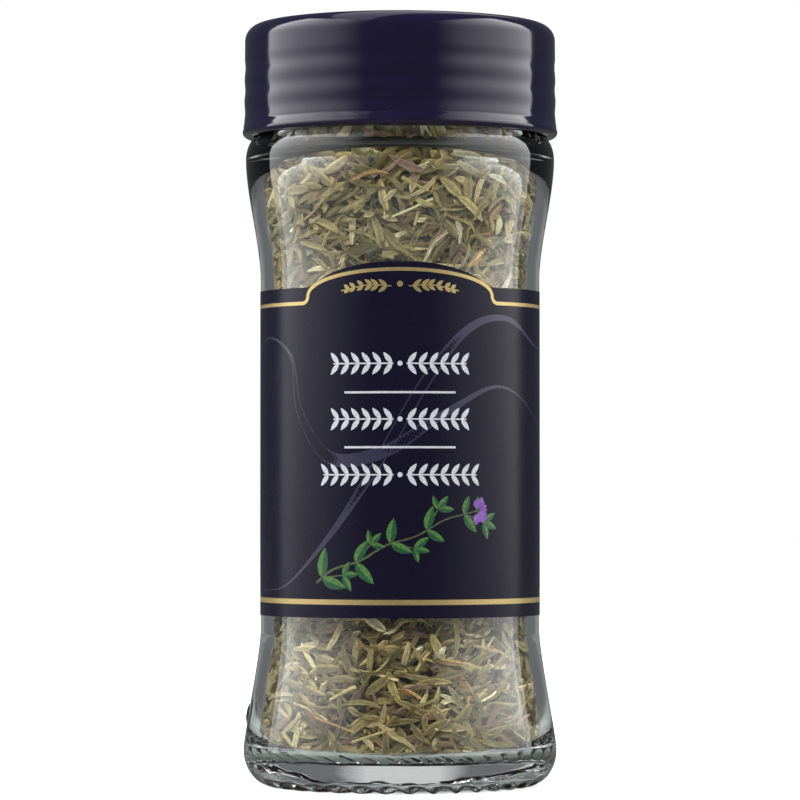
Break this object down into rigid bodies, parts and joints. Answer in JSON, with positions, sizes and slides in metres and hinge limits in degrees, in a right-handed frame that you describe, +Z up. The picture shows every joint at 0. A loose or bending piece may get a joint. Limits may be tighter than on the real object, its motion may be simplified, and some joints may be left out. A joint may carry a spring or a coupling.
{
  "type": "glass spice jar of dried thyme",
  "caption": "Closed round waisted glass jar filled with dried thyme leaves, with a dark purple plastic screw cap and a dark wrap-round label.",
  "frame": {"origin": "centre of the base, on the surface that the jar stands on", "axes": "+Z up along the jar's axis; the label's front faces -Y"},
  "size_m": [0.045, 0.045, 0.1085],
  "materials": {
    "glass": "clear flint glass, fire polished",
    "cap": "glossy injection-moulded polypropylene, dark purple",
    "liner": "matte closed-cell polyethylene foam",
    "insert": "satin natural polypropylene",
    "label": "satin printed polypropylene film, dark navy with gold foil lines",
    "herb": "dry, matte, rolled olive-green leaves",
    "stalk": "dry, matte, straw-brown"
  },
  "bodies": {
    "jar": {"glass_jar": "glass", "shaker_insert": "insert", "wrap_label": "label", "thyme_fill": "herb", "thyme_leaf_01": "herb", "thyme_leaf_02": "herb", "thyme_leaf_03": "herb", "thyme_leaf_04": "herb", "thyme_leaf_05": "herb", "thyme_leaf_06": "herb", "thyme_leaf_07": "herb", "thyme_leaf_08": "herb", "thyme_leaf_09": "herb", "thyme_leaf_10": "herb", "thyme_leaf_11": "herb", "thyme_leaf_12": "herb", "thyme_leaf_13": "herb", "thyme_leaf_14": "herb", "thyme_leaf_15": "herb", "thyme_leaf_16": "herb", "thyme_leaf_17": "herb", "thyme_leaf_18": "herb", "thyme_leaf_19": "herb", "thyme_leaf_20": "herb", "thyme_leaf_21": "herb", "thyme_leaf_22": "herb", "thyme_leaf_23": "herb", "thyme_leaf_24": "herb", "thyme_leaf_25": "herb", "thyme_leaf_26": "herb", "thyme_leaf_27": "herb", "thyme_leaf_28": "herb", "thyme_leaf_29": "herb", "thyme_leaf_30": "herb", "thyme_stalk_01": "stalk", "thyme_stalk_02": "stalk", "thyme_stalk_03": "stalk", "thyme_stalk_04": "stalk", "thyme_stalk_05": "stalk", "thyme_stalk_06": "stalk"},
    "liner": {"cap_liner": "liner"},
    "cap": {"screw_cap": "cap"}
  },
  "joints": [
    {"name": "cap_lift", "type": "slide", "parent": "jar", "child": "liner", "axis": [0, 0, 1], "range_m": [0, 0.0053]},
    {"name": "cap_turn", "type": "hinge", "parent": "liner", "child": "cap", "pos_m": [0, 0, 0.0999], "axis": [0, 0, 1], "range_deg": [0, 450]}
  ],
  "couplings": [
    {"joint": "cap_lift", "follows": "cap_turn", "m_per_rad": 0.00066845}
  ]
}
